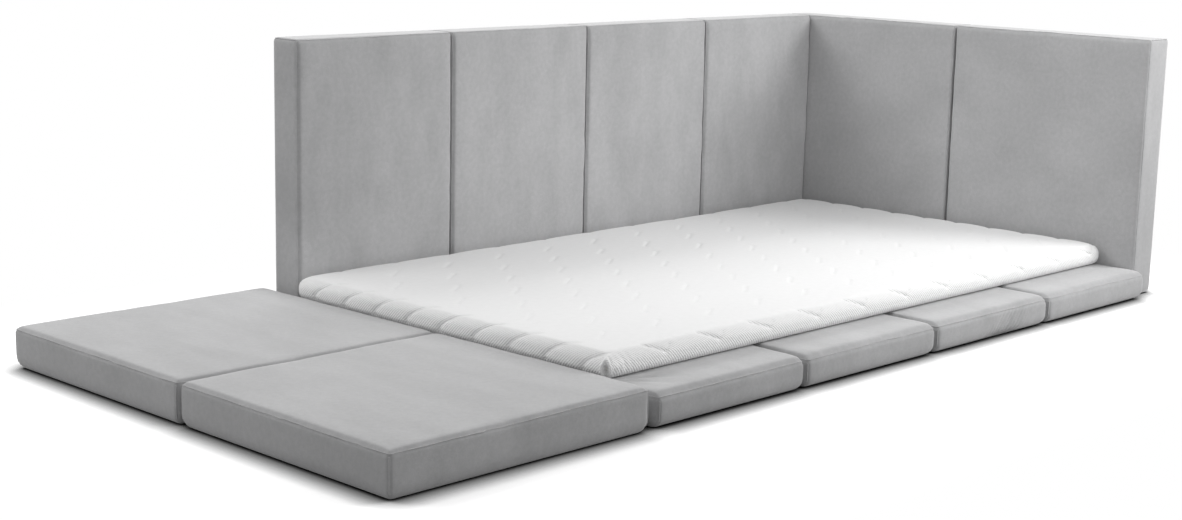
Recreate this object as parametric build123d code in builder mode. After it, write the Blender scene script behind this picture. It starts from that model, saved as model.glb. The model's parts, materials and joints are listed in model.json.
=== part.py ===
from build123d import *
import os

# A modular floor bed: a folding base mat and a folding back wall of four sections each, a
# head wall and a foot mat of two sections each, and a loose mattress on the base.
# Millimetres, +Z up, +X from the foot to the head, +Y from the front to the back wall.
# The origin is on the floor under the middle of the whole bed.

# Driving sizes of the mats
base_sections = 4
base_width = 500.0
base_length = 1190.0
base_thickness = 76.0
wall_height = 712.0
wall_thickness = 100.0
head_width = 627.0
foot_width = 650.0
foot_length = 684.0
foot_thickness = 94.0

# Driving sizes of the mattress
mattress_length = 1996.0
mattress_width = 1060.0
mattress_thickness = 56.0

# Upholstery: how far a face swells and a free side draws in, and the cloth itself
crown = 3.0
end_crown_share = 0.3
side_pull = 3.0
cloth = 2.0
quilted_cloth = 5.0
core_clearance = 0.3

# Rounded edges: along the show face, along the flat back face, and round the two ends
wall_radii = (13.0, 11.0, 10.0)
base_radii = (20.0, 16.0, 15.0)
foot_radii = (15.0, 12.0, 11.0)
mattress_radii = (24.0, 18.0, 17.0)

# Clearances
rest_clearance = 0.3
seam_gap = 1.2
mattress_slack = 0.6

# Seam hinge: a strip of cloth sewn along the edge of one section, in the seam
hinge_depth = 3.0
hinge_margin = 24.0
hinge_clearance = 0.1

# Zip in a sunk pocket of the flat back face, and its slider
zip_margin = 60.0
zip_place = 70.0
pocket_width = 26.0
pocket_depth = 8.0
tape_thickness = 1.0
tape_clearance = 0.3
coil_width = 5.0
coil_height = 2.2
slider_length = 12.0
slider_wall = 1.2
slider_clearance = 0.3
slider_park = 4.0
tab_length = 24.0
tab_width = 7.0
tab_thickness = 1.0

# Hook tape that grips the head wall at the corner
hook_tape_width = 50.0
hook_tape_margin = 80.0
hook_tape_thickness = 0.5

# How far a cutting tool runs past what it cuts
overrun = 5.0

# Places that follow from the sizes
base_span = base_sections * base_width + (base_sections - 1) * seam_gap
foot_span = 2 * foot_width + seam_gap
head_span = 2 * head_width + seam_gap
fold_swing = 2 * ((base_width**2 + wall_thickness**2) ** 0.5 - base_width)
wall_width = base_width - fold_swing / base_sections
height_share = 1 - (1 - 2 * base_thickness / wall_height) ** 2
crown_at_base = crown * (end_crown_share + (1 - end_crown_share) * height_share)
wall_gap = crown_at_base + rest_clearance
inner_y = base_length + wall_gap
back_y = inner_y + wall_thickness
head_inner_x = base_span + wall_gap
head_outer_x = head_inner_x + wall_thickness
foot_x = -rest_clearance - foot_length
head_y = back_y - head_span
total_depth = max(back_y, foot_span)
origin_x = (foot_x + head_outer_x) / 2
origin_y = total_depth / 2
mattress_y = inner_y - crown - mattress_slack - mattress_width
mattress_z = base_thickness + crown + rest_clearance

os.makedirs("parts", exist_ok=True)


def place(x, y, z):
    """A point of the bed, from the foot end, the front and the floor, in the part's frame."""
    return (x - origin_x, y - origin_y, z)


def section(plane, sizes, share, pulls, radii):
    """One cross-section of a cushion: a flat back, two sides and a crowned face."""
    low = pulls[0]
    high = sizes[0] - pulls[1]
    top = sizes[2]
    with BuildSketch(plane) as sketch:
        with BuildLine():
            Line((low, 0), (high, 0))
            Line((high, 0), (high, top))
            ThreePointArc((high, top), ((low + high) / 2, top + crown * share), (low, top))
            Line((low, top), (low, 0))
        make_face()
        fillet(sketch.vertices().sort_by(Axis.Y)[2:], radius=radii[0])
        fillet(sketch.vertices().group_by(Axis.Y)[0], radius=radii[1])
    return sketch.sketch


def cushion(plane, sizes, pulls, radii):
    """A crowned block lofted along its length, with both ends rounded over."""
    length = sizes[1]
    outlines = [
        section(plane, sizes, end_crown_share, (0, 0), radii),
        section(plane.offset(length / 2), sizes, 1, pulls, radii),
        section(plane.offset(length), sizes, end_crown_share, (0, 0), radii),
    ]
    with BuildPart() as block:
        loft(sections=outlines)
        caps = block.faces().sort_by(Axis(plane.origin, plane.z_dir))
        fillet(caps[0].edges() + caps[-1].edges(), radius=radii[2])
    return block.part


def filling(plane, sizes, pulls, radius, inset):
    """The plain rounded block that the foam is cut to, inset from the section's outside."""
    low = inset + pulls[0]
    high = sizes[0] - inset - pulls[1]
    with BuildPart() as block:
        with BuildSketch(plane.offset(inset)):
            with Locations(((low + high) / 2, sizes[2] / 2)):
                Rectangle(high - low, sizes[2] - 2 * inset)
        extrude(amount=sizes[1] - 2 * inset)
        fillet(block.edges(), radius=radius - inset)
    return block.part


def pocket(plane, width, margin):
    """The room of the zip pocket, grown by a margin, cut from the flat back inwards."""
    start = zip_place - margin
    with BuildPart() as room:
        with BuildSketch(plane.offset(start)):
            with Locations((width / 2, (pocket_depth + margin - overrun) / 2)):
                Rectangle(width - 2 * zip_margin + 2 * margin, pocket_depth + margin + overrun)
        extrude(amount=pocket_width + 2 * margin)
    return room.part


def zip_strip(plane, width):
    """The zip's tape on the floor of its pocket, with the closed coil standing on it."""
    run = width - 2 * zip_margin - 2 * tape_clearance
    start = zip_place + tape_clearance
    tape_width = pocket_width - 2 * tape_clearance
    coil_start = zip_place + (pocket_width - coil_width) / 2
    with BuildPart() as strip:
        with BuildSketch(plane.offset(start)):
            with Locations((width / 2, pocket_depth - tape_thickness / 2)):
                Rectangle(run, tape_thickness)
        extrude(amount=tape_width)
        with BuildSketch(plane.offset(coil_start)):
            with Locations((width / 2, pocket_depth - tape_thickness - coil_height / 2)):
                Rectangle(run - 2 * tape_thickness, coil_height)
        extrude(amount=coil_width)
    return strip.part


def zip_slider(plane):
    """The slider that straddles the coil near its low end, with its pull tab lying flat."""
    inside = coil_width + 2 * slider_clearance
    outside = inside + 2 * slider_wall
    foot = pocket_depth - tape_thickness - slider_clearance
    crest = pocket_depth - tape_thickness - coil_height - slider_clearance
    back = crest - slider_wall
    centre = zip_place + pocket_width / 2
    start = zip_margin + slider_park
    with BuildPart() as slider:
        with BuildSketch(plane.offset(centre - outside / 2)):
            with Locations((start + slider_length / 2, (back + foot) / 2)):
                Rectangle(slider_length, foot - back)
        extrude(amount=outside)
        with BuildSketch(plane.offset(centre - inside / 2)):
            with Locations((start + slider_length / 2, (crest + foot + overrun) / 2)):
                Rectangle(slider_length + 2 * overrun, foot - crest + overrun)
        extrude(amount=inside, mode=Mode.SUBTRACT)
        with BuildSketch(plane.offset(centre - tab_width / 2)):
            with Locations((start + slider_length / 2 + tab_length / 2, back - tab_thickness / 2)):
                Rectangle(tab_length, tab_thickness)
        extrude(amount=tab_width)
    return slider.part


def write(shape, name):
    """Labels a finished piece and writes it to its own file."""
    shape.label = name
    export_step(shape, f"parts/{name}.step")


def seam_strip(plane, low, high, place_in, length):
    """A strip of cloth in a seam, from low to high across it, along most of its length."""
    with BuildPart() as strip:
        with BuildSketch(plane.offset(hinge_margin)):
            with Locations(((low + high) / 2, place_in + hinge_depth / 2)):
                Rectangle(high - low, hinge_depth)
        extrude(amount=length - 2 * hinge_margin)
    return strip.part


def make_mat(name, plane, sizes, pulls, radii, skin=cloth):
    """Cover, foam core and zip slider of one section. Returns its zip, to be written."""
    width = sizes[0]
    core_inset = skin + core_clearance
    with BuildPart() as cavity:
        add(filling(plane, sizes, pulls, radii[0], skin))
        add(pocket(plane, width, cloth), mode=Mode.SUBTRACT)
    with BuildPart() as cover:
        add(cushion(plane, sizes, pulls, radii))
        add(cavity.part, mode=Mode.SUBTRACT)
        add(pocket(plane, width, 0), mode=Mode.SUBTRACT)
    with BuildPart() as core:
        add(filling(plane, sizes, pulls, radii[0], core_inset))
        add(pocket(plane, width, cloth + core_clearance), mode=Mode.SUBTRACT)
    write(cover.part, f"{name}_cover")
    write(core.part, f"{name}_foam_core")
    write(zip_slider(plane), f"{name}_zip_slider")
    return zip_strip(plane, width)


# The base mat: four sections side by side on the floor, numbered from the foot end
base_sizes = (base_width, base_length, base_thickness)
base_planes = [
    Plane(place(n * (base_width + seam_gap), base_length, 0), x_dir=(1, 0, 0), z_dir=(0, -1, 0))
    for n in range(base_sections)
]
base_zips = [
    make_mat(f"base_{n + 1}", plane, base_sizes, (0, 0), base_radii)
    for n, plane in enumerate(base_planes)
]
write(Compound(children=base_zips), "base_zips")

# Its seams are hinged at the top and the bottom by turns, so that it folds as a concertina
top_seam = base_thickness - base_radii[0] - hinge_depth
bottom_seam = base_radii[1]
base_hinges = [
    seam_strip(
        plane, base_width, base_width + seam_gap, (top_seam, bottom_seam)[n % 2], base_length
    )
    for n, plane in enumerate(base_planes[:-1])
]
write(Compound(children=base_hinges), "base_seam_hinges")

# The foot mat: two sections beyond the foot of the base, one behind the other
foot_sizes = (foot_width, foot_length, foot_thickness)
foot_planes = {
    side: Plane(place(foot_x, n * (foot_width + seam_gap), 0), x_dir=(0, 1, 0), z_dir=(1, 0, 0))
    for n, side in enumerate(("front", "back"))
}
foot_pulls = {"front": (side_pull, 0), "back": (0, side_pull)}
for side, plane in foot_planes.items():
    foot_zip = make_mat(f"foot_{side}", plane, foot_sizes, foot_pulls[side], foot_radii)
    write(foot_zip, f"foot_{side}_zip")

# The back wall: four sections along the back, the last one against the head wall
wall_sizes = (wall_width, wall_height, wall_thickness)
wall_planes = [
    Plane(
        place(base_span - (base_sections - 1 - n) * (wall_width + seam_gap), back_y, 0),
        x_dir=(-1, 0, 0),
        z_dir=(0, 0, 1),
    )
    for n in range(base_sections)
]
for n, plane in enumerate(wall_planes):
    pulls = (0, side_pull if n == 0 else 0)
    wall_zip = make_mat(f"back_wall_{n + 1}", plane, wall_sizes, pulls, wall_radii)
    write(wall_zip, f"back_wall_{n + 1}_zip")

# The head wall: two sections across the head, from the back wall's outer face forwards
head_sizes = (head_width, wall_height, wall_thickness)
head_planes = {
    side: Plane(
        place(head_outer_x, head_y + n * (head_width + seam_gap), 0),
        x_dir=(0, 1, 0),
        z_dir=(0, 0, 1),
    )
    for n, side in enumerate(("front", "back"))
}
head_pulls = {"front": (side_pull, 0), "back": (0, 0)}
for side, plane in head_planes.items():
    head_zip = make_mat(f"head_wall_{side}", plane, head_sizes, head_pulls[side], wall_radii)
    write(head_zip, f"head_wall_{side}_zip")

# Seam hinges of the folding pairs, each sewn to the section that stays put
strip_reach = seam_gap / 2 - hinge_clearance
outer_seam = wall_radii[1]
inner_seam = wall_thickness - wall_radii[0] - hinge_depth
for n in range(1, base_sections):
    seam = outer_seam if (base_sections - n) % 2 else inner_seam
    strip = seam_strip(wall_planes[n], wall_width, wall_width + strip_reach, seam, wall_height)
    write(strip, f"back_wall_hinge_{n}")
head_strip = seam_strip(head_planes["back"], -strip_reach, 0, outer_seam, wall_height)
write(head_strip, "head_wall_hinge")
foot_seam = foot_thickness - foot_radii[0] - hinge_depth
foot_strip = seam_strip(foot_planes["back"], -strip_reach, 0, foot_seam, foot_length)
write(foot_strip, "foot_mat_hinge")

# Hook tape on the end of the back wall, which grips the napped cloth of the head wall
with BuildPart() as hook_tape:
    with BuildSketch(wall_planes[-1].offset(hook_tape_margin)):
        with Locations((-hook_tape_thickness / 2, wall_thickness / 2)):
            Rectangle(hook_tape_thickness, hook_tape_width)
    extrude(amount=wall_height - 2 * hook_tape_margin)
write(hook_tape.part, "corner_hook_tape")

# The mattress: a foam core in a quilted cover, lying loose on the base
mattress_plane = Plane(
    place(mattress_slack, mattress_y, mattress_z), x_dir=(0, 1, 0), z_dir=(1, 0, 0)
)
mattress_zip = make_mat(
    "mattress",
    mattress_plane,
    (mattress_width, mattress_length, mattress_thickness),
    (side_pull, side_pull),
    mattress_radii,
    quilted_cloth,
)
write(mattress_zip, "mattress_zip")
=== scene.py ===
"""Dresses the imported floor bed: velvet covers on its mats and a quilted knit on its mattress."""

import json
import math

import bmesh
import bpy
import numpy as np
from mathutils import Matrix, Vector, noise
from mathutils.bvhtree import BVHTree


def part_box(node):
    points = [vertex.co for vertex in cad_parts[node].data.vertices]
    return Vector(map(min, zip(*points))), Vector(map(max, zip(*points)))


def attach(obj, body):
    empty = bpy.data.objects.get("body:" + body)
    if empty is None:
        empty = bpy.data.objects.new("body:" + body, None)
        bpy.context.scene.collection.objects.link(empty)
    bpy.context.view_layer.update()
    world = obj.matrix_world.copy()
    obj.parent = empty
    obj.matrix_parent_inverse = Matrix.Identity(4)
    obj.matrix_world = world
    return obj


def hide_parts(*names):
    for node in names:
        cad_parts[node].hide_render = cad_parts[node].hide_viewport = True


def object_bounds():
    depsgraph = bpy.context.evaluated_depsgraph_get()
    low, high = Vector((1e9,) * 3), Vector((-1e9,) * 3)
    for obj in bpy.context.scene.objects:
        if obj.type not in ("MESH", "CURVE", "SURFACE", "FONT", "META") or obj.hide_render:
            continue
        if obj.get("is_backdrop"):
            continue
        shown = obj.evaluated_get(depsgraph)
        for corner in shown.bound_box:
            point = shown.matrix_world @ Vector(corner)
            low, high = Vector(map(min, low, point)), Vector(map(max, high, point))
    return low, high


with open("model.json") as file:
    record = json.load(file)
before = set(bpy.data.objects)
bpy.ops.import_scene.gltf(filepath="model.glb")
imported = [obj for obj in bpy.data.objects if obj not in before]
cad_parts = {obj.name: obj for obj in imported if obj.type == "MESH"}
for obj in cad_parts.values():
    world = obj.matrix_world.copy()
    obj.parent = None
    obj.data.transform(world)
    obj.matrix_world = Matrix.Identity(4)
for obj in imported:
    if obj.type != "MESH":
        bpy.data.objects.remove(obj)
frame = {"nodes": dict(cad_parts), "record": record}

bl_info = {
    "name": "Floor Bed Upholstery",
    "version": (1, 0, 0),
    "blender": (4, 5, 0),
    "location": "View3D > Sidebar > Floor Bed",
    "description": "Sews the covers of a folding floor bed and its quilted mattress",
    "category": "Object",
}

PHOTO_WIDTH = 1182
SENSOR_WIDTH = 36.0

# The floor's reach, its white for the camera and its grey for the bed, and where its shadow fades
FLOOR_REACH = 30
FLOOR_WHITE = 1.5
FLOOR_PLAIN = 0.35
SHADOW_START = 0.05
SHADOW_END = 0.6

# How far from the mats the painted contact shadow on the floor reaches, and how steeply it darkens
CONTACT_REACH = 0.06
CONTACT_POWER = 2.2

# How a cover is filled: faces round an edge, frames of air, the air's pressure, and its shrunk rim
EDGE_STEPS = 6
FILL_FRAMES = 20
VELVET_PRESSURE = 4
KNIT_PRESSURE = 3
RIM_SHRINK = 0.02
RIM_SHARE = 1.2

# How a welt lies, as shares of its radius: its rise and width at the rim and at a corner, and
# how much both vary along it
RIM_WELT = (0, 0.6)
CORNER_WELT = (0.3, 1.2)
WELT_WAVE = 0.3
WELT_SPREAD = 0.25

# How far apart the noise of two seeds is taken
SEED_STEPS = (3.7, 1.9, 5.3)

# A length that counts as none, and one that keeps a division from zero
TINY = 1e-6
NOT_ZERO = 1e-9

# The way a mat's width, length and show face point
ACROSS_BED = ((1, 0, 0), (0, 1, 0), (0, 0, 1))
BACK_WALL = ((1, 0, 0), (0, 0, 1), (0, -1, 0))
HEAD_WALL = ((0, -1, 0), (0, 0, 1), (-1, 0, 0))
BASE_MATS = ("base_1", "base_2", "base_3", "base_4")
FOOT_MATS = ("foot_front", "foot_back")
BACK_WALLS = ("back_wall_1", "back_wall_2", "back_wall_3", "back_wall_4")
HEAD_WALLS = ("head_wall_front", "head_wall_back")

# The mattress's stitches on its flat cloth: a tick on top, and a slash and a mark on the sides
TICK = ((-0.030, -0.021), (0.026, 0.019))
SLASH = ((-0.030, 0.000), (0.028, 0.036))
MARK = ((0.044, 0.016), (0.030, 0.034))

# A mat's corners, round from the far right one
CORNERS = ((1, 1), (-1, 1), (-1, -1), (1, -1))

# How wide the rounded edge is at a mat's left, right, near and far side, as a share of its radius
SECTION_SHARES = (0.8, 0.45, 1, 1)
FOOT_SHARES = {"foot_front": (1, 1, 1, 0.55), "foot_back": (1, 1, 0.8, 1)}
# Along which axis a mat's near left corner is drawn in, how far, and over what length
CORNER_WEDGES = {
    "base_1": (0, 0.026, 0.16), "base_2": (0, 0.005, 0.07), "base_3": (0, 0.005, 0.07),
    "base_4": (0, 0.005, 0.07), "foot_back": (1, 0.012, 0.07),
}
BODY_OF_NODE = {
    node: body for body, nodes in frame["record"]["behaviour"]["bodies"].items() for node in nodes
}


class BedUpholstery(bpy.types.PropertyGroup):
    """How the velvet covers are cut, filled and sewn."""

    cell: bpy.props.FloatProperty(
        name="Cell", description="Side of a mesh cell of a cover", default=0.018, unit="LENGTH"
    )
    base_round: bpy.props.FloatProperty(
        name="Base edge", description="Radius of the base mat's edges", default=0.019, unit="LENGTH"
    )
    foot_round: bpy.props.FloatProperty(
        name="Foot edge", description="Radius of the foot mat's edges", default=0.012, unit="LENGTH"
    )
    wall_round: bpy.props.FloatProperty(
        name="Wall edge", description="Radius of the walls' edges", default=0.012, unit="LENGTH"
    )
    swell: bpy.props.FloatProperty(
        name="Swell", description="Most that a face swells", default=0.004, unit="LENGTH"
    )
    draw_in: bpy.props.FloatProperty(
        name="Draw in", description="Most that a side moves in", default=0.002, unit="LENGTH"
    )
    tuck: bpy.props.FloatProperty(
        name="Tuck", description="How far the lower edge goes under", default=0.011, unit="LENGTH"
    )
    tuck_height: bpy.props.FloatProperty(
        name="Tuck height", description="Where the lower edge starts", default=0.03, unit="LENGTH"
    )
    seam_turn: bpy.props.FloatProperty(
        name="Seam", description="Where the seam lies round the edge", subtype="ANGLE",
        default=math.radians(58),
    )
    seam_height: bpy.props.FloatProperty(
        name="Seam height", description="Height of a sewn seam", default=0.0011, unit="LENGTH"
    )
    seam_width: bpy.props.FloatProperty(
        name="Seam width", description="Width of a sewn seam", default=0.0026, unit="LENGTH"
    )
    welt: bpy.props.FloatProperty(
        name="Welt", description="Radius of the folded edge in a seam", default=0.0013,
        unit="LENGTH",
    )
    welt_step: bpy.props.FloatProperty(
        name="Welt step", description="Distance between a welt's points", default=0.009,
        unit="LENGTH",
    )
    pucker: bpy.props.FloatProperty(
        name="Pucker", description="Height of the puckers at a seam", default=0.0010, unit="LENGTH"
    )
    pucker_pitch: bpy.props.FloatProperty(
        name="Pucker pitch", description="Distance between puckers", default=0.034, unit="LENGTH"
    )
    unevenness: bpy.props.FloatProperty(
        name="Unevenness", description="Height of the broad waves of a face", default=0.0012,
        unit="LENGTH",
    )
    foam_inset: bpy.props.FloatProperty(
        name="Foam inset", description="How far the foam lies inside its cover", default=0.006,
        unit="LENGTH",
    )


class BedQuilting(bpy.types.PropertyGroup):
    """The mattress cover's rolled edge and its quilted channels."""

    cell: bpy.props.FloatProperty(
        name="Cell", description="Side of a mesh cell", default=0.018, unit="LENGTH"
    )
    round: bpy.props.FloatProperty(
        name="Edge", description="Radius of the rolled edge", default=0.022, unit="LENGTH"
    )
    pitch_long: bpy.props.FloatProperty(
        name="Long pitch", description="Channel pitch along the mattress", default=0.175,
        unit="LENGTH",
    )
    pitch_cross: bpy.props.FloatProperty(
        name="Cross pitch", description="Channel pitch across the mattress", default=0.113,
        unit="LENGTH",
    )
    stitch_depth: bpy.props.FloatProperty(
        name="Stitch depth", description="Depth of a line of stitches", default=0.0050,
        unit="LENGTH",
    )
    stitch_width: bpy.props.FloatProperty(
        name="Stitch width", description="Half width of a line of stitches", default=0.0032,
        unit="LENGTH",
    )
    end_pillow: bpy.props.FloatProperty(
        name="End pillow", description="How far the foot end's channels pull in", default=0.0012,
        unit="LENGTH",
    )
    side_pillow: bpy.props.FloatProperty(
        name="Side pillow", description="How far the sides' stitches pull in", default=0.0007,
        unit="LENGTH",
    )
    pillow_width: bpy.props.FloatProperty(
        name="Pillow width", description="How wide a channel pulls the cloth in", default=0.020,
        unit="LENGTH",
    )
    top_depth: bpy.props.FloatProperty(
        name="Top depth", description="Depth of the stitched ticks on top", default=0.0028,
        unit="LENGTH",
    )
    swell: bpy.props.FloatProperty(
        name="Swell", description="Most that the top swells", default=0.006, unit="LENGTH"
    )
    draw_in: bpy.props.FloatProperty(
        name="Draw in", description="Most that a side moves in", default=0.002, unit="LENGTH"
    )
    unevenness: bpy.props.FloatProperty(
        name="Unevenness", description="Height of the broad waves of the cover", default=0.0015,
        unit="LENGTH",
    )
    foam_inset: bpy.props.FloatProperty(
        name="Foam inset", description="How far the foam lies inside its cover", default=0.010,
        unit="LENGTH",
    )


class BedFinish(bpy.types.PropertyGroup):
    """Colours of the bed's cloths and fittings."""

    velvet: bpy.props.FloatVectorProperty(
        name="Velvet", description="Velvet of the mats", subtype="COLOR", size=3,
        default=(0.42, 0.42, 0.425),
    )
    knit: bpy.props.FloatVectorProperty(
        name="Knit", description="Quilted knit of the mattress", subtype="COLOR", size=3,
        default=(0.84, 0.84, 0.84),
    )
    grey_tape: bpy.props.FloatVectorProperty(
        name="Grey zip", description="Zip tape of the mats", subtype="COLOR", size=3,
        default=(0.22, 0.22, 0.225),
    )
    white_tape: bpy.props.FloatVectorProperty(
        name="White zip", description="Zip tape of the mattress", subtype="COLOR", size=3,
        default=(0.78, 0.78, 0.78),
    )
    metal: bpy.props.FloatVectorProperty(
        name="Slider", description="Metal of the zip sliders", subtype="COLOR", size=3,
        default=(0.62, 0.62, 0.64),
    )
    hook: bpy.props.FloatVectorProperty(
        name="Hook tape", description="Tape at the corner", subtype="COLOR", size=3,
        default=(0.16, 0.16, 0.165),
    )
    foam: bpy.props.FloatVectorProperty(
        name="Foam", description="Foam of the cores", subtype="COLOR", size=3,
        default=(0.80, 0.76, 0.62),
    )


class BedStage(bpy.types.PropertyGroup):
    """Camera and light of the studio."""

    place: bpy.props.FloatVectorProperty(
        name="Camera", description="Where the camera stands", subtype="XYZ", size=3,
        default=(-3.4539, -3.1281, 1.0592),
    )
    heading: bpy.props.FloatProperty(
        name="Heading", description="From the back wall's side towards the head", subtype="ANGLE",
        default=math.radians(45.897),
    )
    pitch: bpy.props.FloatProperty(
        name="Pitch", description="How far the camera looks down", subtype="ANGLE",
        default=math.radians(10.841),
    )
    roll: bpy.props.FloatProperty(
        name="Roll", description="How far the camera is turned", subtype="ANGLE",
        default=math.radians(1.234),
    )
    focal_pixels: bpy.props.FloatProperty(
        name="Focal length", description="In pixels of the picture", subtype="PIXEL",
        default=1903.8,
    )
    sky: bpy.props.FloatProperty(
        name="Sky", description="Strength of the light from all round", default=0.48
    )
    key: bpy.props.FloatProperty(
        name="Key", description="Power of the lamp at the right", default=57, unit="POWER"
    )
    side: bpy.props.FloatProperty(
        name="Side", description="Power of the lamp past the foot", default=26, unit="POWER"
    )
    back: bpy.props.FloatProperty(
        name="Back", description="Power of the lamp behind the bed", default=30, unit="POWER"
    )
    wall: bpy.props.FloatProperty(
        name="Wall", description="Power of the lamp that faces the back wall", default=9,
        unit="POWER",
    )


def axes_matrix(axes):
    """The turn from a mat's own width, length and show face to the bed's axes."""
    return Matrix([Vector(a) for a in axes]).transposed().to_4x4()


def local_box(node, axes):
    """Sizes of a node along a mat's own axes, and the matrix that puts the mat in its place."""
    low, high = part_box(node)
    turn = axes_matrix(axes)
    corners = [turn.inverted() @ low, turn.inverted() @ high]
    start = Vector([min(c[i] for c in corners) for i in range(3)])
    end = Vector([max(c[i] for c in corners) for i in range(3)])
    middle = (start + end) / 2
    origin = Vector((middle.x, middle.y, start.z))
    return end - start, turn @ Matrix.Translation(origin)


def rounded_box(name, sizes, radius, cell):
    """A box standing on its back face, its edges rounded and its faces cut to even cells."""
    slack = 0.01
    bm = bmesh.new()
    bmesh.ops.create_cube(bm, size=1)
    bmesh.ops.translate(bm, vec=(0, 0, 1 / 2), verts=bm.verts)
    bmesh.ops.scale(bm, vec=sizes, verts=bm.verts)
    bmesh.ops.bevel(
        bm, geom=bm.edges[:], offset=radius, segments=EDGE_STEPS, profile=0.5, affect="EDGES",
        material=-1, clamp_overlap=False,
    )
    for axis in range(3):
        flat = sizes[axis] - 2 * radius
        cuts = max(1, round(flat / cell)) - 1
        long_edges = [
            e for e in bm.edges
            if abs(e.verts[0].co[axis] - e.verts[1].co[axis]) > (1 - slack) * flat
            and e.calc_length() < (1 + slack) * flat
        ]
        bmesh.ops.subdivide_edges(bm, edges=long_edges, cuts=cuts, use_grid_fill=True)
    bmesh.ops.recalc_face_normals(bm, faces=bm.faces)
    mesh = bpy.data.meshes.new(name)
    bm.to_mesh(mesh)
    bm.free()
    return mesh


def get_points(mesh):
    """The mesh's points as an array."""
    points = np.empty(len(mesh.vertices) * 3, np.float32)
    mesh.vertices.foreach_get("co", points)
    return points.reshape(-1, 3).astype(float)


def set_points(mesh, points):
    """Moves the mesh's points to an array."""
    mesh.vertices.foreach_set("co", points.astype(np.float32).ravel())
    mesh.update()


def get_normals(mesh):
    """The mesh's point normals as an array."""
    normals = np.empty(len(mesh.vertices) * 3, np.float32)
    mesh.vertex_normals.foreach_get("vector", normals)
    return normals.reshape(-1, 3).astype(float)


def raise_points(mesh, height):
    """Moves each point outwards by its height."""
    set_points(mesh, get_points(mesh) + get_normals(mesh) * height[:, None])


def limit(value, most):
    """Eases a length towards its most, so that nothing passes it and nothing is cut flat."""
    return most * np.tanh(value / most)


def bell(value, middle, width):
    """A smooth hump: 1 where the value is at its middle, and near 0 past twice its width."""
    return np.exp(-(((value - middle) / width) ** 2))


def inflate(mesh, rim, pressure):
    """Swells a cover with air in a cloth simulation and returns how far each point moved."""
    rest = get_points(mesh)
    piece = bpy.data.objects.new("cloth_trial", mesh)
    scene = bpy.context.scene
    scene.collection.objects.link(piece)
    seam = piece.vertex_groups.new(name="seam")
    seam.add([int(i) for i in np.flatnonzero(rim)], 1.0, "REPLACE")
    cloth = piece.modifiers.new("cloth", "CLOTH")
    cloth.settings.quality = 4
    cloth.settings.mass = 0.3
    cloth.settings.tension_stiffness = 20
    cloth.settings.compression_stiffness = 20
    cloth.settings.shear_stiffness = 8
    cloth.settings.bending_stiffness = 0.6
    cloth.settings.use_pressure = True
    cloth.settings.uniform_pressure_force = pressure
    cloth.settings.vertex_group_shrink = seam.name
    cloth.settings.shrink_min = 0
    cloth.settings.shrink_max = RIM_SHRINK
    cloth.settings.effector_weights.gravity = 0
    cloth.collision_settings.use_collision = False
    cloth.point_cache.frame_start = 1
    cloth.point_cache.frame_end = FILL_FRAMES
    for step in range(FILL_FRAMES):
        scene.frame_set(step + 1)
    graph = bpy.context.evaluated_depsgraph_get()
    moved = bpy.data.meshes.new_from_object(piece.evaluated_get(graph), depsgraph=graph)
    shift = get_points(moved) - rest
    bpy.data.objects.remove(piece)
    bpy.data.meshes.remove(moved)
    scene.frame_set(1)
    return shift


def refined(mesh, levels):
    """The mesh with its cells divided smoothly."""
    piece = bpy.data.objects.new("refine_trial", mesh)
    bpy.context.scene.collection.objects.link(piece)
    smooth = piece.modifiers.new("smooth", "SUBSURF")
    smooth.levels = smooth.render_levels = levels
    smooth.boundary_smooth = "PRESERVE_CORNERS"
    graph = bpy.context.evaluated_depsgraph_get()
    finer = bpy.data.meshes.new_from_object(piece.evaluated_get(graph), depsgraph=graph)
    bpy.data.objects.remove(piece)
    return finer


def unroll(points, half, radius, top):
    """Where each point lies on the cloth, rolled flat, with its turn and reach at the edge."""
    core = np.maximum(half - radius, 0)
    inner = np.clip(points[:, :2], -core, core)
    out = points[:, :2] - inner
    reach = np.hypot(out[:, 0], out[:, 1])
    drop = points[:, 2] - (top - radius)
    turn = np.where(drop > 0, np.arctan2(reach, np.maximum(drop, NOT_ZERO)), math.pi / 2)
    arc = radius * turn + np.maximum(-drop, 0)
    arc = np.where(reach > TINY, arc, 0)
    way = out / np.maximum(reach, NOT_ZERO)[:, None]
    return inner + way * arc[:, None], turn, reach


def waves(points, scale, seed):
    """Smooth noise from -1 to 1 at each point, with waves about as long as scale."""
    offset = Vector([step * seed for step in SEED_STEPS])
    return np.array([noise.noise(Vector(p) / scale + offset) for p in points])


def swelling(sizes, radius, cell, swell, draw_in, pressure):
    """A cover's mesh after filling, in its own axes."""
    start = Vector((sizes[0] - 2 * draw_in, sizes[1] - 2 * draw_in, sizes[2] - swell))
    mesh = rounded_box("cover", start, radius, cell)
    rest = get_points(mesh)
    band = RIM_SHARE * radius
    rim = (np.abs(rest[:, :2]) > np.array(start[:2]) / 2 - band).any(axis=1)
    rim &= rest[:, 2] > start.z - band
    shift = inflate(mesh, rim, pressure)
    shift[:, :2] = limit(shift[:, :2], draw_in)
    upper = rest[:, 2] > radius
    shift[:, 2] = np.where(upper, limit(shift[:, 2], swell), 0)
    set_points(mesh, rest + shift)
    return mesh


def new_material(name, colour, roughness, coordinates="Object"):
    """A material with its node tree, its shader and its texture coordinates."""
    material = bpy.data.materials.new(name)
    material.use_nodes = True
    tree = material.node_tree
    shader = tree.nodes["Principled BSDF"]
    shader.inputs["Base Color"].default_value = (*colour, 1)
    shader.inputs["Roughness"].default_value = roughness
    place = tree.nodes.new("ShaderNodeTexCoord").outputs[coordinates]
    return material, tree, shader, place


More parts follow.
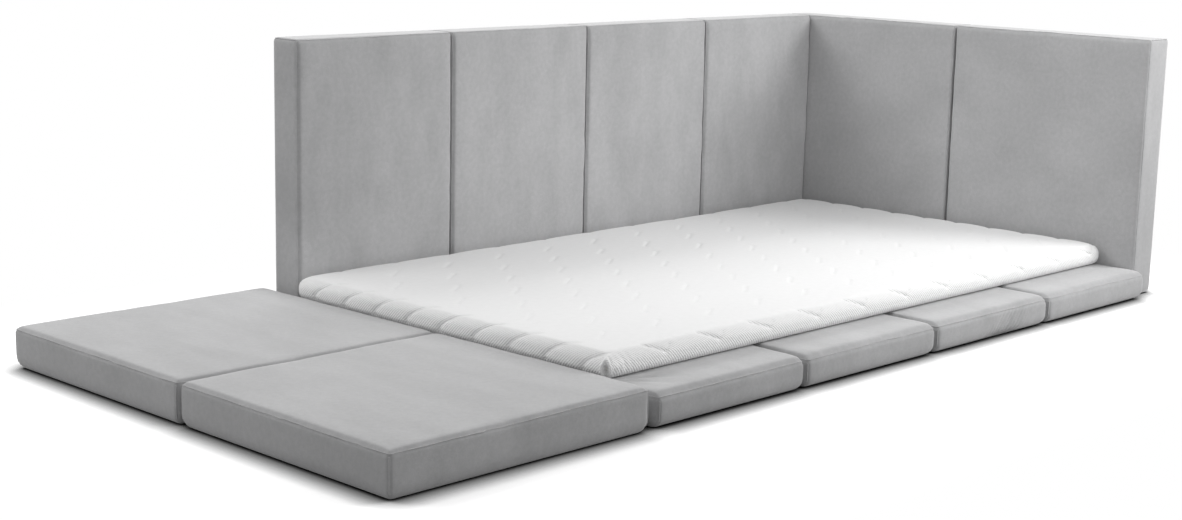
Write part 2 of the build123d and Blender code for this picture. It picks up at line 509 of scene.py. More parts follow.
def add_noise(tree, place, scale, detail, stretch=(1, 1, 1)):
    """A noise pattern on texture coordinates, drawn out along an axis where it is stretched."""
    mapping = tree.nodes.new("ShaderNodeMapping")
    mapping.inputs["Scale"].default_value = stretch
    pattern = tree.nodes.new("ShaderNodeTexNoise")
    pattern.inputs["Scale"].default_value = scale
    pattern.inputs["Detail"].default_value = detail
    tree.links.new(place, mapping.inputs["Vector"])
    tree.links.new(mapping.outputs["Vector"], pattern.inputs["Vector"])
    return pattern.outputs["Fac"]


def map_range(tree, value, start, end, low, high):
    """A value's run from start to end, mapped to a run from low to high."""
    ranged = tree.nodes.new("ShaderNodeMapRange")
    ranged.inputs["From Min"].default_value = start
    ranged.inputs["From Max"].default_value = end
    ranged.inputs["To Min"].default_value = low
    ranged.inputs["To Max"].default_value = high
    tree.links.new(value, ranged.inputs["Value"])
    return ranged.outputs["Result"]


def mottle(tree, place, low, high, scale, detail, stretch=(1, 1, 1)):
    """A noise pattern that runs from low to high, to scale a colour by."""
    noise_low = 0.3
    noise_high = 0.7
    pattern = add_noise(tree, place, scale, detail, stretch)
    return map_range(tree, pattern, noise_low, noise_high, low, high)


def multiply(tree, first, second):
    """The product of two patterns."""
    product = tree.nodes.new("ShaderNodeMath")
    product.operation = "MULTIPLY"
    tree.links.new(first, product.inputs[0])
    tree.links.new(second, product.inputs[1])
    return product.outputs["Value"]


def shade(tree, shader, colour, value):
    """Lets a pattern lighten and darken the shader's colour."""
    scale = tree.nodes.new("ShaderNodeVectorMath")
    scale.operation = "SCALE"
    scale.inputs[0].default_value = colour
    tree.links.new(value, scale.inputs["Scale"])
    tree.links.new(scale.outputs["Vector"], shader.inputs[0])


def add_bump(tree, shader, height, strength, depth):
    """Lays a pattern over the shader's relief so far, with its depth in metres."""
    bump = tree.nodes.new("ShaderNodeBump")
    bump.inputs["Strength"].default_value = strength
    bump.inputs["Distance"].default_value = depth
    tree.links.new(height, bump.inputs["Height"])
    below = shader.inputs["Normal"].links
    if below:
        tree.links.new(below[0].from_socket, bump.inputs["Normal"])
    tree.links.new(bump.outputs["Normal"], shader.inputs["Normal"])


def velvet(name, colour):
    """Short-pile velvet: brushed patches, a soft sheen and a fine nap."""
    material, tree, shader, place = new_material(name, colour, roughness=0.9)
    shader.inputs["Sheen Weight"].default_value = 0.8
    shader.inputs["Sheen Roughness"].default_value = 0.4
    shader.inputs["Specular IOR Level"].default_value = 0.1
    brushed = mottle(tree, place, low=0.94, high=1.06, scale=3.2, detail=3, stretch=(1, 1, 0.6))
    strokes = mottle(tree, place, low=0.94, high=1.06, scale=16, detail=3, stretch=(1, 0.3, 0.45))
    specks = mottle(tree, place, low=0.955, high=1.045, scale=85, detail=3)
    pile = mottle(tree, place, low=0.95, high=1.05, scale=420, detail=2)
    tone = multiply(tree, multiply(tree, brushed, strokes), multiply(tree, specks, pile))
    shade(tree, shader, colour, tone)
    lay = add_noise(tree, place, scale=70, detail=4)
    nap = add_noise(tree, place, scale=900, detail=2)
    add_bump(tree, shader, lay, strength=0.35, depth=0.0008)
    add_bump(tree, shader, nap, strength=0.3, depth=0.0004)
    return material


def by_slope(tree, level, upright):
    """Runs from one value on level cloth to another on the sides."""
    level_normal = 0.98
    side_normal = 0.6
    facing = tree.nodes.new("ShaderNodeSeparateXYZ")
    tree.links.new(tree.nodes.new("ShaderNodeNewGeometry").outputs["Normal"], facing.inputs[0])
    return map_range(tree, facing.outputs["Z"], level_normal, side_normal, level, upright)


def double_knit(name, colour):
    """Double-knit mattress cloth with fine slanting ribs showing on its sides, and painted light on
    the sides.
    """
    material, tree, shader, place = new_material(name, colour, roughness=0.85, coordinates="UV")
    shader.inputs["Sheen Weight"].default_value = 0.15
    shader.inputs["Specular IOR Level"].default_value = 0.2
    mapping = tree.nodes.new("ShaderNodeMapping")
    mapping.inputs["Rotation"].default_value = (0, 0, math.radians(-45))
    tree.links.new(place, mapping.inputs["Vector"])
    ribs = tree.nodes.new("ShaderNodeTexWave")
    ribs.inputs["Scale"].default_value = 58
    ribs.inputs["Distortion"].default_value = 0.8
    ribs.inputs["Detail"].default_value = 1
    ribs.inputs["Detail Scale"].default_value = 1.5
    tree.links.new(mapping.outputs["Vector"], ribs.inputs["Vector"])
    fleck = mottle(tree, place, low=0.985, high=1.01, scale=60, detail=2)
    # Painted light: the cloth is painted up to a tenth lighter where it faces sideways than on its
    # level top.
    painted_side_light = by_slope(tree, level=1, upright=1.1)
    shade(tree, shader, colour, multiply(tree, fleck, painted_side_light))
    raised = multiply(tree, ribs.outputs["Fac"], by_slope(tree, level=0.15, upright=1))
    loops = add_noise(tree, place, scale=500, detail=1)
    add_bump(tree, shader, raised, strength=0.6, depth=0.0014)
    add_bump(tree, shader, loops, strength=0.2, depth=0.0003)
    return material


def woven_tape(name, colour):
    """A ribbed woven tape."""
    material, tree, shader, place = new_material(name, colour, roughness=0.8)
    ribs = tree.nodes.new("ShaderNodeTexWave")
    ribs.inputs["Scale"].default_value = 260
    tree.links.new(place, ribs.inputs["Vector"])
    fleck = mottle(tree, place, low=0.9, high=1.1, scale=300, detail=2)
    shade(tree, shader, colour, fleck)
    add_bump(tree, shader, ribs.outputs["Fac"], strength=0.5, depth=0.0003)
    return material


def plated_metal(name, colour):
    """Brushed plated metal with faint wear."""
    material, tree, shader, place = new_material(name, colour, roughness=0.32)
    shader.inputs["Metallic"].default_value = 1
    wear = mottle(tree, place, low=0.85, high=1.05, scale=500, detail=3)
    shade(tree, shader, colour, wear)
    grain = add_noise(tree, place, scale=900, detail=2)
    add_bump(tree, shader, grain, strength=0.2, depth=0.0001)
    return material


def hook_strip(name, colour):
    """Hook tape: rows of tiny hooks on a dark woven strip."""
    material, tree, shader, place = new_material(name, colour, roughness=0.6)
    cells = tree.nodes.new("ShaderNodeTexVoronoi")
    cells.inputs["Scale"].default_value = 600
    tree.links.new(place, cells.inputs["Vector"])
    fleck = mottle(tree, place, low=0.85, high=1.15, scale=200, detail=2)
    shade(tree, shader, colour, fleck)
    add_bump(tree, shader, cells.outputs["Distance"], strength=0.8, depth=0.0006)
    return material


def open_foam(name, colour):
    """Open-cell foam."""
    material, tree, shader, place = new_material(name, colour, roughness=0.95)
    cells = tree.nodes.new("ShaderNodeTexVoronoi")
    cells.inputs["Scale"].default_value = 500
    tree.links.new(place, cells.inputs["Vector"])
    patches = mottle(tree, place, low=0.94, high=1.04, scale=12, detail=3)
    shade(tree, shader, colour, patches)
    add_bump(tree, shader, cells.outputs["Distance"], strength=0.7, depth=0.0008)
    return material


# What makes the material of each slot, and the setting that colours it
FINISHES = {
    "grey_velvet": (velvet, "velvet"),
    "quilted_knit": (double_knit, "knit"),
    "foam": (open_foam, "foam"),
    "grey_zip": (woven_tape, "grey_tape"),
    "white_zip": (woven_tape, "white_tape"),
    "zip_metal": (plated_metal, "metal"),
    "hook_tape": (hook_strip, "hook"),
}


def finish_mesh(mesh, slot):
    """Gives a mesh the material of a slot, which is made the first time that it is used."""
    name = slot.replace("_", " ")
    make, colour = FINISHES[slot]
    if name not in bpy.data.materials:
        make(name, getattr(bpy.context.scene.bed_finish, colour))
    mesh.materials.clear()
    mesh.materials.append(bpy.data.materials[name])


def sew_seams(mesh, half, radius, top, seed):
    """Raises the sewn seam along the show face's rim, with its puckers and the broad waves."""
    cut = bpy.context.scene.bed_upholstery
    rim_reach = 1.1 * radius
    valley_place = 2.2 * cut.seam_width
    valley_share = 0.15
    pucker_reach = 0.6 * radius
    wave_length = 0.16
    wave_seed = seed + 11
    wave_start = 0.2 * top
    points = get_points(mesh)
    cloth, turn, reach = unroll(points, half, radius, top)
    from_seam = (turn - cut.seam_turn) * radius
    on_rim = (reach > TINY) & (points[:, 2] > top - rim_reach)
    ridge = bell(from_seam, 0, cut.seam_width) * on_rim
    valley = bell(from_seam, valley_place, cut.seam_width) * on_rim
    near = bell(from_seam, 0, pucker_reach) * on_rim
    gathers = waves(np.column_stack([cloth, np.zeros(len(cloth))]), cut.pucker_pitch, seed)
    height = cut.seam_height * (ridge - valley_share * valley)
    height += cut.pucker * gathers * near
    height += cut.unevenness * waves(points, wave_length, wave_seed) * (points[:, 2] > wave_start)
    raise_points(mesh, height)
    return cloth


def tighten_edges(points, half, radius, shares):
    """Narrows the rounded edges at a mat's sides, so that joined sections meet closely."""
    points = points.copy()
    for side, share in enumerate(shares):
        axis = side // 2
        way = side % 2 * 2 - 1
        inside = half[axis] - way * points[:, axis]
        saved = radius * (1 - share)
        fade = np.clip((half[axis] - inside) / (half[axis] - radius), 0, 1)
        closer = np.where(inside < radius, inside * (1 - share), saved * fade)
        points[:, axis] += way * closer * (inside > 0)
    return points


def tuck_under(points, half, tuck, height):
    """Draws the lower edge in, where the cover goes under the foam."""
    low = np.clip(1 - points[:, 2] / height, 0, 1) ** 2
    out = np.abs(points[:, :2])
    beside_edge = (out / half) ** 8
    points = points.copy()
    points[:, :2] -= np.sign(points[:, :2]) * np.minimum(tuck, out) * low[:, None] * beside_edge
    return points


def draw_in_corner(points, half, axis, depth, reach):
    """Draws a mat's near left corner in along one axis, which opens a small wedge at the joint."""
    other = 1 - axis
    near = np.clip(1 - (points[:, other] + half[other]) / reach, 0, 1) ** 2
    beside_edge = np.clip(-points[:, axis] / half[axis], 0, 1) ** 6
    points = points.copy()
    points[:, axis] += depth * near * beside_edge
    return points


def rim_loop(half, radius, top, turn, step):
    """Points round the show face's rim, part way down its rounded edge."""
    core = half - radius
    out = radius * math.sin(turn)
    height = top - radius + radius * math.cos(turn)
    corner_parts = 4
    loop = []
    for quarter, signs in enumerate(CORNERS):
        corner = core * signs
        for part in range(corner_parts + 1):
            angle = math.radians(90 * (quarter + part / corner_parts))
            loop.append((corner[0] + out * math.cos(angle), corner[1] + out * math.sin(angle)))
        run = 2 * core[quarter % 2]
        ahead = np.subtract(CORNERS[(quarter + 1) % len(CORNERS)], signs) / 2
        count = int(run / step)
        start = np.array(loop[-1])
        loop += [tuple(start + ahead * run * i / count) for i in range(1, count)]
    return np.array([(*p, height) for p in loop])


def corner_line(half, radius, top, signs, step):
    """Points down one upright corner, from the rim's rounded edge to the lower one."""
    out = (half - radius) + radius * math.sqrt(0.5)
    lowest = 0.6 * radius
    heights = np.arange(top - radius, lowest, -step)
    return np.array([(signs[0] * out[0], signs[1] * out[1], h) for h in heights])


def sew_welts(mesh, mat, node, place, lines):
    """Lays the folded edges of the seams on a cover, as thin welts that rise and fall a little."""
    cut = bpy.context.scene.bed_upholstery
    tree = BVHTree.FromPolygons(
        [v.co for v in mesh.vertices], [p.vertices[:] for p in mesh.polygons]
    )
    curve = bpy.data.curves.new("welt", "CURVE")
    curve.dimensions = "3D"
    curve.bevel_depth = cut.welt
    curve.bevel_resolution = 1
    curve.use_fill_caps = True
    for line, closed, rise, width in lines:
        spline = curve.splines.new("POLY")
        spline.use_cyclic_u = closed
        spline.points.add(len(line) - 1)
        for point, where in zip(spline.points, line):
            seat, normal, _, _ = tree.find_nearest(Vector(where))
            uneven = noise.noise(seat / cut.pucker_pitch)
            seat = seat + normal * (rise + WELT_WAVE * uneven) * cut.welt
            point.co = (*seat, 1)
            point.radius = width + WELT_SPREAD * uneven
    trial = bpy.data.objects.new("welt_trial", curve)
    bpy.context.scene.collection.objects.link(trial)
    graph = bpy.context.evaluated_depsgraph_get()
    welts = bpy.data.meshes.new_from_object(trial.evaluated_get(graph), depsgraph=graph)
    bpy.data.objects.remove(trial)
    welts.transform(place)
    finish_mesh(welts, "grey_velvet")
    welts.shade_smooth()
    piece = bpy.data.objects.new(f"{mat}_welts", welts)
    bpy.context.scene.collection.objects.link(piece)
    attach(piece, BODY_OF_NODE[node])


def keep_within(mesh, low, high):
    """Keeps every point inside the box between two corners."""
    set_points(mesh, np.clip(get_points(mesh), low, high))


def write_cloth_map(mesh, cloth):
    """Gives the mesh a map of where each point lies on the flat cloth, in metres."""
    layer = mesh.uv_layers.new(name="cloth")
    corners = np.empty(len(mesh.loops), np.int32)
    mesh.loops.foreach_get("vertex_index", corners)
    layer.uv.foreach_set("vector", cloth[corners].astype(np.float32).ravel())


def finish_piece(mesh, name, node, slot):
    """Puts a finished soft piece in the scene in the place of its node."""
    mesh.name = name
    finish_mesh(mesh, slot)
    mesh.shade_smooth()
    piece = bpy.data.objects.new(name, mesh)
    bpy.context.scene.collection.objects.link(piece)
    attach(piece, BODY_OF_NODE[node])
    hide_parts(node)


def foam_core(coarse, mat, place, inset):
    """The foam inside a cover: the cover's own form, drawn in all round."""
    mesh = coarse.copy()
    points = get_points(mesh)
    low, high = points.min(axis=0), points.max(axis=0)
    middle = (low + high) / 2
    set_points(mesh, middle + (points - middle) * (1 - 2 * inset / (high - low)))
    mesh.transform(place)
    finish_piece(mesh, f"{mat}_foam", f"{mat}_foam_core", "foam")


filled = {}


def filled_cover(sizes, radius):
    """The filled mesh for covers of one size, made once and copied for each of them."""
    cut = bpy.context.scene.bed_upholstery
    key = tuple(round(s, 4) for s in sizes) + (radius,)
    if key not in filled:
        filled[key] = swelling(
            sizes, radius, cut.cell, cut.swell, cut.draw_in, VELVET_PRESSURE
        )
    return filled[key].copy()


def velvet_cover(mat, axes, radius, seed, shares, wrinkles=None):
    """One mat section's cover, with its welts and the foam inside."""
    cut = bpy.context.scene.bed_upholstery
    node = f"{mat}_cover"
    sizes, place = local_box(node, axes)
    coarse = filled_cover(sizes, radius)
    mesh = refined(coarse, 2 if wrinkles else 1)
    half = np.array([sizes.x / 2, sizes.y / 2])
    cloth = sew_seams(mesh, half, radius, sizes.z, seed)
    if wrinkles:
        raise_points(mesh, wrinkles(get_points(mesh), half, sizes.z))

    def shape(points):
        """The cover's own shape: close joints, a drawn-in corner and a tucked lower edge."""
        points = tighten_edges(points, half, radius, shares)
        if mat in CORNER_WEDGES:
            points = draw_in_corner(points, half, *CORNER_WEDGES[mat])
        if axes == ACROSS_BED:
            points = tuck_under(points, half, cut.tuck, cut.tuck_height)
        return points

    set_points(mesh, shape(get_points(mesh)))
    set_points(coarse, shape(get_points(coarse)))
    foam_core(coarse, mat, place, cut.foam_inset)
    bpy.data.meshes.remove(coarse)
    keep_within(mesh, (-half[0], -half[1], 0), (half[0], half[1], sizes.z))
    rim = rim_loop(half, radius, sizes.z, cut.seam_turn, cut.welt_step)
    lines = [(shape(rim), True, *RIM_WELT)]
    for signs in CORNERS:
        line = corner_line(half, radius, sizes.z, signs, cut.welt_step)
        lines.append((shape(line), False, *CORNER_WELT))
    sew_welts(mesh, mat, node, place, lines)
    write_cloth_map(mesh, cloth)
    mesh.transform(place)
    finish_piece(mesh, f"{mat}_velvet", node, "grey_velvet")


def gathered_front(points, half, top):
    """Slanting folds bunched on the right part of a base section's front."""
    fold_height = 0.0034
    broad_height = 0.0014
    hollow = 0.0026
    slant = 0.24
    share = points[:, 0] / half[0]
    rise = points[:, 2] / top
    lean = share - slant * (rise - 0.4)
    front = np.clip((-points[:, 1] - (half[1] - 0.016)) / 0.006, 0, 1)
    bunch = bell(lean, middle=0.26, width=0.24) * front
    low = bell(rise, middle=0.30, width=0.38)
    folds = fold_height * np.sin(lean * 105 + 1.8 * np.sin(lean * 9 + 2 * rise))
    folds += broad_height * np.sin(lean * 38 + rise)
    return (folds * low - hollow) * bunch


def creased_top(points, half, top):
    """Faint creases that fan out on a base section's top from under the mattress's corner."""
    crease_height = 0.0014
    creases_a_radian = 16
    across = points[:, 0] + half[0] - 0.02
    along = points[:, 1] + half[1] - 0.15
    angle = np.arctan2(along, across)
    near = bell(np.hypot(across, along), middle=0.09, width=0.06)
    near = near * bell(angle, middle=-0.45, width=0.55)
    return crease_height * np.sin(angle * creases_a_radian) * near * (points[:, 2] > 0.7 * top)


class BED_OT_base_mat(bpy.types.Operator):
    """Sew the covers of the four base sections."""

    bl_idname = "bed.base_mat"
    bl_label = "Base Mat"

    def execute(self, context):
        radius = context.scene.bed_upholstery.base_round
        wrinkles = {"base_1": creased_top, "base_3": gathered_front}
        for seed, mat in enumerate(BASE_MATS):
            velvet_cover(mat, ACROSS_BED, radius, seed, SECTION_SHARES, wrinkles.get(mat))
        return {"FINISHED"}


class BED_OT_foot_mat(bpy.types.Operator):
    """Sew the covers of the two foot sections."""

    bl_idname = "bed.foot_mat"
    bl_label = "Foot Mat"

    def execute(self, context):
        radius = context.scene.bed_upholstery.foot_round
        for seed, mat in enumerate(FOOT_MATS, start=10):
            velvet_cover(mat, ACROSS_BED, radius, seed, FOOT_SHARES[mat])
        return {"FINISHED"}


class BED_OT_back_wall(bpy.types.Operator):
    """Sew the covers of the four back wall sections."""

    bl_idname = "bed.back_wall"
    bl_label = "Back Wall"

    def execute(self, context):
        radius = context.scene.bed_upholstery.wall_round
        for seed, mat in enumerate(BACK_WALLS, start=20):
            velvet_cover(mat, BACK_WALL, radius, seed, SECTION_SHARES)
        return {"FINISHED"}


class BED_OT_head_wall(bpy.types.Operator):
    """Sew the covers of the two head wall sections."""

    bl_idname = "bed.head_wall"
    bl_label = "Head Wall"

    def execute(self, context):
        radius = context.scene.bed_upholstery.wall_round
        for seed, mat in enumerate(HEAD_WALLS, start=30):
            velvet_cover(mat, HEAD_WALL, radius, seed, SECTION_SHARES)
        return {"FINISHED"}


def stitch_distance(a, b, run):
    """Distance of each cloth point (a, b) from a straight run of stitches."""
    start, end = run
    way = np.subtract(end, start)
    share = ((a - start[0]) * way[0] + (b - start[1]) * way[1]) / (way @ way)
    share = np.clip(share, 0, 1)
    return np.hypot(a - start[0] - share * way[0], b - start[1] - share * way[1])


def stitched(distance, quilt, pillow):
    """How far stitches at a distance pull the cloth in, with the pillow beside them."""
    line = quilt.stitch_depth * np.exp(-distance / quilt.stitch_width)
    return line + pillow * bell(distance, 0, quilt.pillow_width)


def centred(value, pitch):
    """A length's place in its repeat, measured from the middle of it."""
    return (value + pitch / 2) % pitch - pitch / 2


def top_ticks(along, across, rim, quilt):
    """Depth of the slanting ticks, which lie in staggered rows on top."""
    end_margin = 0.05
    side_margin = 0.02
    row = np.floor(across / quilt.pitch_cross)
    a = centred(along + row % 2 * quilt.pitch_long / 2, quilt.pitch_long)
    b = across - (row + 0.5) * quilt.pitch_cross
    on_top = (np.abs(along) < rim[0] - end_margin) & (np.abs(across) < rim[1] - side_margin)
    return quilt.top_depth * np.exp(-stitch_distance(a, b, TICK) / quilt.stitch_width) * on_top


def end_channels(past_rim, across, half, radius, top, quilt):
    """Depth of the channels that climb an end of the mattress and lean over as they go."""
    lean = 0.055
    most_climb = 1.6
    widening = 0.65
    start = -0.022
    start_fade = 0.015
    side_fade = 0.02
    girth = radius * math.pi / 2 + top - 2 * radius
    climb = np.clip(1 - past_rim / girth, 0, most_climb)
    slot = centred(across + lean * climb, quilt.pitch_cross)
    fade = np.clip((past_rim - start) / start_fade, 0, 1)
    fade *= np.clip((half[1] - 0.5 * radius - np.abs(across)) / side_fade, 0, 1)
    return fade * stitched(widening * np.abs(slot), quilt, quilt.end_pillow)


def side_slashes(past_rim, along, half, radius, quilt):
    """Depth of the slashes and the short marks between them on a side of the mattress."""
    start = -0.03
    start_share = 0.2
    mark_share = 0.5
    shift = centred(along - start_share * quilt.pitch_long, quilt.pitch_long)
    slash = stitched(stitch_distance(shift, past_rim, SLASH), quilt, quilt.side_pillow)
    mark = stitched(stitch_distance(shift, past_rim, MARK), quilt, 0)
    on_side = (past_rim > start) & (np.abs(along) < half[0] - 2 * radius)
    return on_side * (slash + mark_share * mark)


def channel_depths(cloth, half, radius, top, quilt):
    """How far the quilted channels pull in each point of the mattress cover."""
    along = cloth[:, 0]
    across = cloth[:, 1]
    rim = half - radius
    depth = top_ticks(along, across, rim, quilt)
    for side in (-1, 1):
        depth += end_channels(side * along - rim[0], across, half, radius, top, quilt)
        depth += side_slashes(side * across - rim[1], along, half, radius, quilt)
    return depth


def corner_fold(points, half, top):
    """The folded corner of the mattress's cover: a small pocket, a knot and fanning creases."""
    corner_round = 0.022
    corner_arc = 0.035
    pocket_angle = 34
    pocket_height = 0.016
    pocket_width = 0.011
    pocket_rise = 0.023
    pocket_depth = 0.015
    lip_height = 0.0060
    knot_angle = 82
    knot_height = 0.028
    knot_size = 0.005
    crease_height = 0.0007
    out = corner_round - half - points[:, :2]
    height = points[:, 2]
    angle = np.degrees(np.arctan2(np.maximum(out[:, 1], 0), np.maximum(out[:, 0], TINY)))
    near = (out[:, 0] > -0.03) & (out[:, 1] > -0.10)
    sideways = (angle - pocket_angle) / 90 * corner_arc
    sideways = np.where(out[:, 1] > 0, sideways, out[:, 1] - 0.014)
    ring = np.hypot(sideways / pocket_width, (height - pocket_height) / pocket_rise)
    fold = lip_height * bell(ring, middle=1.15, width=0.28)
    fold -= pocket_depth * np.exp(-((ring / 0.75) ** 4))
    knot = bell(angle, knot_angle, width=16) * bell(height, knot_height, width=0.011)
    fold += knot_size * knot * (out[:, 1] > 0)
    along = points[:, 0] + half[0]
    fan = bell(along, middle=0.055, width=0.03) * (points[:, 1] < 0.05 - half[1])
    creases = crease_height * np.sin(along * 330 + height * 160) * fan
    return fold * near + creases * (height < 0.9 * top)


class BED_OT_mattress(bpy.types.Operator):
    """Quilt the mattress cover over its foam core."""

    bl_idname = "bed.mattress"
    bl_label = "Mattress"

    def execute(self, context):
        quilt = context.scene.bed_quilting
        node = "mattress_cover"
        wave_length = 0.22
        wave_seed = 41
        flat_height = 0.002
        flat_fade = 0.01
        crown_room = 0.004
        sizes, place = local_box(node, ACROSS_BED)
        coarse = swelling(
            sizes, quilt.round, quilt.cell, quilt.swell, quilt.draw_in, KNIT_PRESSURE
        )
        foam_core(coarse, "mattress", place, quilt.foam_inset)
        mesh = refined(coarse, 2)
        bpy.data.meshes.remove(coarse)
        half = np.array([sizes.x / 2, sizes.y / 2])
        points = get_points(mesh)
        cloth = unroll(points, half, quilt.round, sizes.z)[0]
        height = quilt.unevenness * waves(points, wave_length, wave_seed)
        height += corner_fold(points, half, sizes.z)
        height -= channel_depths(cloth, half, quilt.round, sizes.z, quilt)
        raise_points(mesh, height * np.clip((points[:, 2] - flat_height) / flat_fade, 0, 1))
        keep_within(mesh, (-half[0], -half[1], 0), (half[0], half[1], sizes.z + crown_room))
        write_cloth_map(mesh, cloth)
        mesh.transform(place)
        finish_piece(mesh, "mattress_quilted", node, "quilted_knit")
        return {"FINISHED"}


class BED_OT_fittings(bpy.types.Operator):
    """Finish the zips, sliders, seam strips and hook tape."""

    bl_idname = "bed.fittings"
    bl_label = "Fittings"

    def execute(self, context):
        for subpart in frame["record"]["subparts"]:
            if not subpart["node"].endswith(("_cover", "_foam_core")):
                finish_mesh(frame["nodes"][subpart["node"]].data, subpart["material_slot"])
        return {"FINISHED"}


def camera_matrix(stage):
    """The camera's place and turn from its heading, pitch and roll."""
    heading, pitch, roll = stage.heading, stage.pitch, stage.roll
    ahead = Vector((
        math.sin(heading) * math.cos(pitch), math.cos(heading) * math.cos(pitch), -math.sin(pitch)
    ))
    level = Vector((math.cos(heading), -math.sin(heading), 0))
    above = level.cross(ahead)
    right = math.cos(roll) * level + math.sin(roll) * above
    up = -math.sin(roll) * level + math.cos(roll) * above
    turn = Matrix([right, up, -ahead]).transposed().to_4x4()
    return Matrix.Translation(stage.place) @ turn


def add_lamp(name, power, place, target, size):
    """A large soft lamp aimed at a point."""
    data = bpy.data.lights.new(name, "AREA")
    data.shape = "RECTANGLE"
    data.size, data.size_y = size
    data.energy = power
    lamp = bpy.data.objects.new(name, data)
    bpy.context.scene.collection.objects.link(lamp)
    aim = (Vector(target) - Vector(place)).to_track_quat("-Z", "Y")
    lamp.matrix_world = Matrix.Translation(place) @ aim.to_matrix().to_4x4()


def seen_white(tree, plain, white):
    """Shows the white shader to the camera, in gloss and through glass, else the plain one."""
    rays = tree.nodes.new("ShaderNodeLightPath")
    seen = rays.outputs["Is Camera Ray"]
    for other in ("Is Glossy Ray", "Is Transmission Ray"):
        either = tree.nodes.new("ShaderNodeMath")
        either.operation = "MAXIMUM"
        tree.links.new(seen, either.inputs[0])
        tree.links.new(rays.outputs[other], either.inputs[1])
        seen = either.outputs["Value"]
    mix = tree.nodes.new("ShaderNodeMixShader")
    tree.links.new(seen, mix.inputs["Fac"])
    tree.links.new(plain.outputs[0], mix.inputs[1])
    tree.links.new(white.outputs[0], mix.inputs[2])
    return mix


def vector_step(tree, operation, vector, other=(0, 0, 0)):
    """One step of arithmetic on a vector, with a fixed one where the step takes two."""
    step = tree.nodes.new("ShaderNodeVectorMath")
    step.operation = operation
    step.inputs[1].default_value = other
    tree.links.new(vector, step.inputs[0])
    return step.outputs["Value" if operation == "LENGTH" else "Vector"]


def shadow_fade(tree):
    """Runs from 0 beside the bed to 1 where its shadow ends, by the floor's own coordinates."""
    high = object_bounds()[1]
    place = tree.nodes.new("ShaderNodeTexCoord").outputs["Object"]
    reach = vector_step(tree, "ABSOLUTE", place)
    past = vector_step(tree, "SUBTRACT", reach, (high.x, high.y, 0))
    distance = vector_step(tree, "LENGTH", vector_step(tree, "MAXIMUM", past))
    return map_range(tree, distance, SHADOW_START, SHADOW_END, 0, 1)


def floor_material():
    """A white studio floor that keeps the bed's shadow, with a painted contact shadow where the mats
    stand.
    """
    material = bpy.data.materials.new("floor")
    material.use_nodes = True
    tree = material.node_tree
    tree.nodes.clear()
    plain = tree.nodes.new("ShaderNodeBsdfDiffuse")
    plain.inputs["Color"].default_value = (FLOOR_PLAIN, FLOOR_PLAIN, FLOOR_PLAIN, 1)
    shaded = tree.nodes.new("ShaderNodeBsdfDiffuse")
    bright = tree.nodes.new("ShaderNodeEmission")
    white = tree.nodes.new("ShaderNodeMixShader")
    tree.links.new(shadow_fade(tree), white.inputs["Fac"])
    tree.links.new(shaded.outputs[0], white.inputs[1])
    tree.links.new(bright.outputs[0], white.inputs[2])
    # Painted shade: ambient occlusion darkens the floor's colour in a thin line where the mats stand.
    contact = tree.nodes.new("ShaderNodeAmbientOcclusion")
    contact.inputs["Distance"].default_value = CONTACT_REACH
    painted_contact_shadow = tree.nodes.new("ShaderNodeMath")
    painted_contact_shadow.operation = "POWER"
    painted_contact_shadow.inputs[1].default_value = CONTACT_POWER
    tree.links.new(contact.outputs["AO"], painted_contact_shadow.inputs[0])
    shade(tree, shaded, (FLOOR_WHITE, FLOOR_WHITE, FLOOR_WHITE), painted_contact_shadow.outputs["Value"])
    mix = seen_white(tree, plain, white)
    out = tree.nodes.new("ShaderNodeOutputMaterial")
    tree.links.new(mix.outputs[0], out.inputs["Surface"])
    return material


def studio_world(strength):
    """Even light from all round, seen as plain white."""
    world = bpy.data.worlds.new("studio")
    world.use_nodes = True
    tree = world.node_tree
    tree.nodes.clear()
    plain = tree.nodes.new("ShaderNodeBackground")
    white = tree.nodes.new("ShaderNodeBackground")
    plain.inputs["Color"].default_value = white.inputs["Color"].default_value = (1, 1, 1, 1)
    plain.inputs["Strength"].default_value = strength
    mix = seen_white(tree, plain, white)
    out = tree.nodes.new("ShaderNodeOutputWorld")
    tree.links.new(mix.outputs[0], out.inputs["Surface"])
    return world


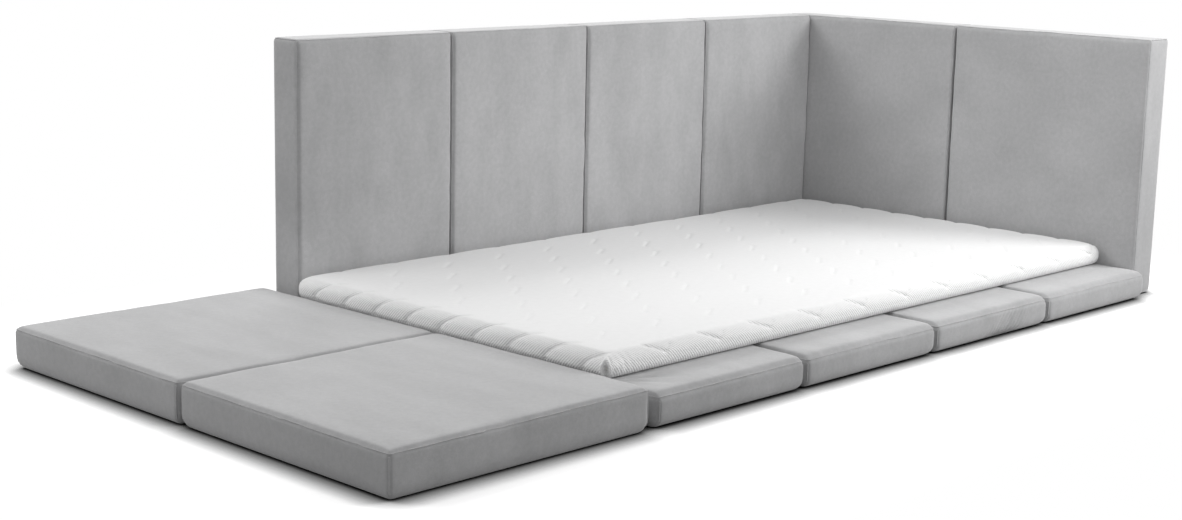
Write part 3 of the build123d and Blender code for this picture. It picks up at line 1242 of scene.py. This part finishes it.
class BED_OT_stage(bpy.types.Operator):
    """Set up the floor, the light and the camera."""

    bl_idname = "bed.stage"
    bl_label = "Stage"

    def execute(self, context):
        stage = context.scene.bed_stage
        bm = bmesh.new()
        bmesh.ops.create_grid(bm, x_segments=1, y_segments=1, size=FLOOR_REACH)
        mesh = bpy.data.meshes.new("floor")
        bm.to_mesh(mesh)
        bm.free()
        mesh.materials.append(floor_material())
        floor = bpy.data.objects.new("floor", mesh)
        context.scene.collection.objects.link(floor)
        floor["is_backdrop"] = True
        context.scene.world = studio_world(stage.sky)
        add_lamp("key", stage.key, place=(2.4, -2.4, 1.8), target=(0.3, 0, 0.2), size=(1.2, 1.2))
        add_lamp("side", stage.side, place=(-2.8, 1.6, 2.4), target=(-0.6, 0, 0.2), size=(1.5, 1.5))
        add_lamp("back", stage.back, place=(-0.4, 2.2, 2.4), target=(-0.4, 0, 0), size=(3, 1))
        add_lamp("wall", stage.wall, place=(0.6, -1.1, 1.5), target=(0.7, 0.54, 0.5), size=(0.8, 0.5))
        data = bpy.data.cameras.new("camera")
        data.sensor_width = SENSOR_WIDTH
        data.lens = stage.focal_pixels / PHOTO_WIDTH * SENSOR_WIDTH
        camera = bpy.data.objects.new("camera", data)
        context.scene.collection.objects.link(camera)
        camera.matrix_world = camera_matrix(stage)
        context.scene.camera = camera
        context.scene.view_settings.view_transform = "Standard"
        return {"FINISHED"}


class BED_PT_bed(bpy.types.Panel):
    """The bed's pieces and their settings."""

    bl_label = "Floor Bed"
    bl_idname = "BED_PT_bed"
    bl_space_type = "VIEW_3D"
    bl_region_type = "UI"
    bl_category = "Floor Bed"

    def draw(self, context):
        for group in GROUPS:
            box = self.layout.box()
            for name in group.__annotations__:
                box.prop(getattr(context.scene, GROUPS[group]), name)
        for operator in OPERATORS:
            self.layout.operator(operator.bl_idname)


GROUPS = {
    BedUpholstery: "bed_upholstery",
    BedQuilting: "bed_quilting",
    BedFinish: "bed_finish",
    BedStage: "bed_stage",
}
OPERATORS = (
    BED_OT_base_mat,
    BED_OT_foot_mat,
    BED_OT_back_wall,
    BED_OT_head_wall,
    BED_OT_mattress,
    BED_OT_fittings,
    BED_OT_stage,
)


def register():
    """Adds the bed's settings, operators and panel."""
    for group, name in GROUPS.items():
        bpy.utils.register_class(group)
        setattr(bpy.types.Scene, name, bpy.props.PointerProperty(type=group))
    for item in (*OPERATORS, BED_PT_bed):
        bpy.utils.register_class(item)


def unregister():
    """Takes them away again."""
    for item in reversed((*OPERATORS, BED_PT_bed)):
        bpy.utils.unregister_class(item)
    for group, name in reversed(GROUPS.items()):
        delattr(bpy.types.Scene, name)
        bpy.utils.unregister_class(group)


def main():
    """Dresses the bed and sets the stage."""
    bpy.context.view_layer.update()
    register()
    bpy.ops.bed.base_mat()
    bpy.ops.bed.foot_mat()
    bpy.ops.bed.back_wall()
    bpy.ops.bed.head_wall()
    bpy.ops.bed.mattress()
    bpy.ops.bed.fittings()
    bpy.ops.bed.stage()


if __name__ == "__main__":
    main()
